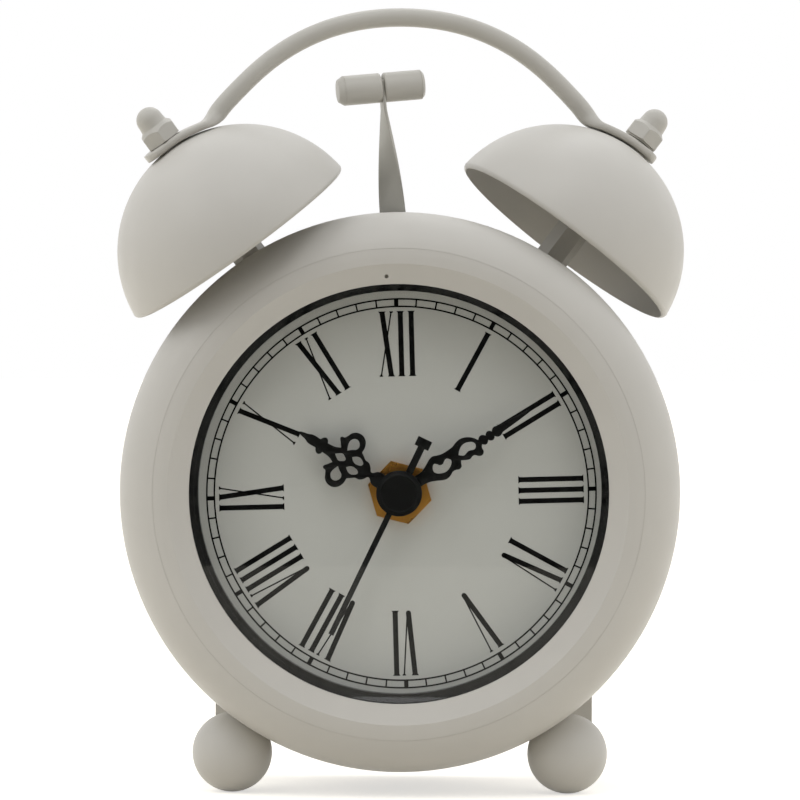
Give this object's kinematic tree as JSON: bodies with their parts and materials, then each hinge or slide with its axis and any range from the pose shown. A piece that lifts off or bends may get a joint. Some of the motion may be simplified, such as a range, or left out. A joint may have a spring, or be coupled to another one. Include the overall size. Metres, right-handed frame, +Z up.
{
  "type": "twin-bell alarm clock",
  "caption": "Round desk alarm clock with two hemispherical bells, a swinging hammer, an arched carry handle, ball feet and a Roman dial.",
  "frame": {"origin": "on the ground, under the middle of the bounding box", "axes": "+X right and +Y to the back as the dial is read, +Z up; the dial faces -Y"},
  "size_m": [0.114, 0.0644, 0.1575],
  "materials": {
    "painted_drum": "semi-gloss off-white stoved enamel",
    "painted_bezel": "semi-gloss off-white stoved enamel",
    "painted_bells": "semi-gloss off-white stoved enamel",
    "painted_fittings": "semi-gloss off-white stoved enamel",
    "painted_feet": "semi-gloss off-white stoved enamel",
    "painted_hammer": "semi-gloss off-white stoved enamel",
    "glass": "clear flat float glass",
    "black_ring": "gloss black moulding",
    "dial_print": "matt off-white lacquer with black print",
    "washer_rubber": "matt",
    "cover_plastic": "fine-spark ABS",
    "control_plastic": "satin black ABS",
    "zinc_steel": "zinc plated",
    "cell_sleeve": "plain shrink sleeve",
    "coil_tape": "enamelled winding",
    "movement_plastic": "black ABS",
    "brass": "turned brass",
    "gear_plastic": "natural acetal",
    "hand_lacquer": "black lacquered steel"
  },
  "bodies": {
    "clock": {"case_shell": "painted_drum", "bezel_ring": "painted_bezel", "left_bell": "painted_bells", "right_bell": "painted_bells", "left_post": "painted_fittings", "right_post": "painted_fittings", "acorn_nuts": "painted_fittings", "carry_handle": "painted_fittings", "left_foot": "painted_feet", "right_foot": "painted_feet", "glass_lens": "glass", "spacer_ring": "black_ring", "dial_plate": "dial_print", "sealing_washer": "washer_rubber", "back_cover": "cover_plastic", "cover_screws": "zinc_steel", "foot_screws": "zinc_steel", "post_screws": "zinc_steel", "pivot_pin": "zinc_steel", "ringer_bracket": "zinc_steel", "ringer_cores": "zinc_steel", "battery_contacts": "zinc_steel", "battery": "cell_sleeve", "ringer_coils": "coil_tape", "movement_front": "movement_plastic", "movement_rear": "movement_plastic", "mounting_bush": "brass", "bush_nut": "brass"},
    "minute": {"minute_pipe": "gear_plastic", "minute_hand": "hand_lacquer"},
    "hour": {"hour_wheel": "gear_plastic", "hour_hand": "hand_lacquer"},
    "second": {"second_arbor": "gear_plastic", "second_hand": "hand_lacquer"},
    "setting": {"set_wheel": "gear_plastic", "set_knob": "control_plastic"},
    "alarm": {"alarm_arbor": "gear_plastic", "alarm_knob": "control_plastic"},
    "hammer": {"hammer_arm": "painted_hammer", "hammer_beads": "painted_hammer", "hammer_rivet": "painted_hammer"},
    "switch": {"alarm_switch": "control_plastic"},
    "door": {"battery_door": "cover_plastic"}
  },
  "joints": [
    {"name": "minute_spin", "type": "hinge", "parent": "clock", "child": "minute", "pos_m": [0, 0, 0.06047], "axis": [0, 1, 0], "continuous": true},
    {"name": "hour_spin", "type": "hinge", "parent": "clock", "child": "hour", "pos_m": [0, 0, 0.06047], "axis": [0, 1, 0], "continuous": true},
    {"name": "second_spin", "type": "hinge", "parent": "clock", "child": "second", "pos_m": [0, 0, 0.06047], "axis": [0, 1, 0], "continuous": true},
    {"name": "set_knob_spin", "type": "hinge", "parent": "clock", "child": "setting", "pos_m": [-0.009, 0, 0.06047], "axis": [0, 1, 0], "continuous": true},
    {"name": "alarm_knob_spin", "type": "hinge", "parent": "clock", "child": "alarm", "pos_m": [0.014, 0, 0.06047], "axis": [0, 1, 0], "continuous": true},
    {"name": "hammer_swing", "type": "hinge", "parent": "clock", "child": "hammer", "pos_m": [-0.00127, -0.00027, 0.10867], "axis": [-0.2045, 0.9789, 0], "range_deg": [-18.5, 32.5], "stiffness_Nm_per_rad": 0.02},
    {"name": "alarm_switch_slide", "type": "slide", "parent": "clock", "child": "switch", "axis": [1, 0, 0], "range_m": [0, 0.0038]},
    {"name": "battery_door_slide", "type": "slide", "parent": "clock", "child": "door", "axis": [0, 1, 0], "range_m": [0, 0.015]}
  ],
  "couplings": [
    {"joint": "hour_spin", "follows": "minute_spin", "ratio": 0.083333},
    {"joint": "set_knob_spin", "follows": "minute_spin", "ratio": -0.33333}
  ]
}
